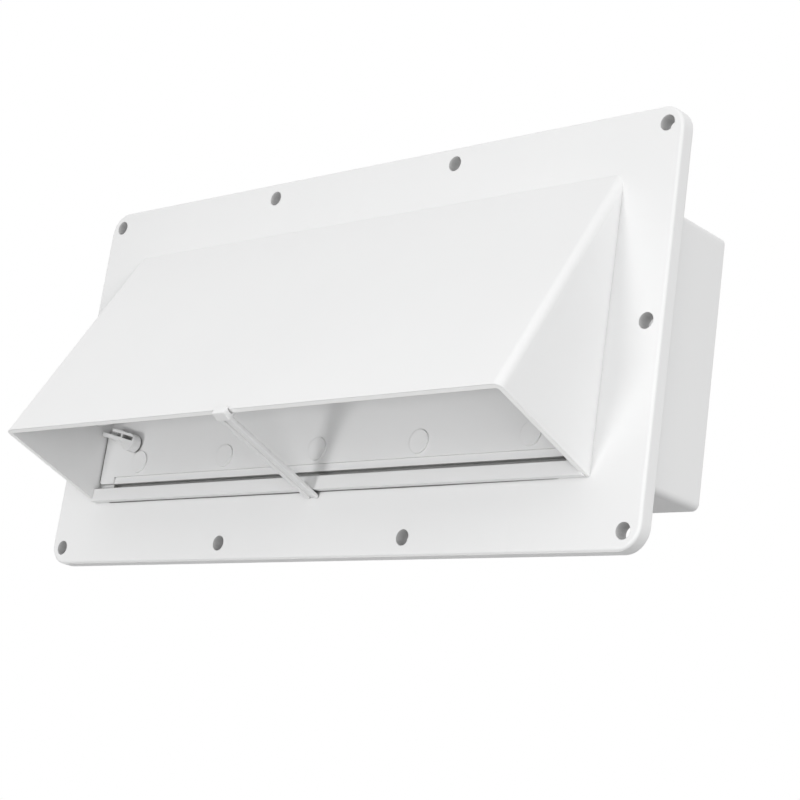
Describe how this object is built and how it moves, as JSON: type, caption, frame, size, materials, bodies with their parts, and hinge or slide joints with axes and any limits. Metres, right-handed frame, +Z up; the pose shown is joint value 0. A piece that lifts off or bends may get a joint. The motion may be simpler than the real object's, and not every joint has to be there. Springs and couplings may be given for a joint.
{
  "type": "exhaust vent cover",
  "caption": "Wall exhaust vent cover: sloping hood on a screw-down flange, swinging damper flap with turn latches, and a rectangular duct sleeve behind.",
  "frame": {"origin": "centre of the corner screw holes, in the plane of the wall that the flange lies against", "axes": "+X to the right seen from outside, +Y into the wall along the duct, +Z up; the hood points to -Y"},
  "size_m": [0.34, 0.126, 0.175],
  "materials": {
    "shell_plastic": "white, satin, finely textured",
    "flap_plastic": "white, satin",
    "latch_plastic": "white, satin"
  },
  "bodies": {
    "body": {"hood_flange": "shell_plastic", "duct_box": "shell_plastic", "centre_strut": "latch_plastic"},
    "flap": {"damper_flap": "flap_plastic"},
    "left_latch": {"latch_left": "latch_plastic"},
    "right_latch": {"latch_right": "latch_plastic"}
  },
  "joints": [
    {"name": "flap_swing", "type": "hinge", "parent": "body", "child": "flap", "pos_m": [0, -0.007, 0.047], "axis": [-1, 0, 0], "range_deg": [0, 27]},
    {"name": "left_latch_turn", "type": "hinge", "parent": "flap", "child": "left_latch", "pos_m": [-0.1196, -0.008, -0.0328], "axis": [0, 1, 0], "range_deg": [-45, 22]},
    {"name": "right_latch_turn", "type": "hinge", "parent": "flap", "child": "right_latch", "pos_m": [0.1196, -0.008, -0.0328], "axis": [0, -1, 0], "range_deg": [-45, 22]}
  ]
}
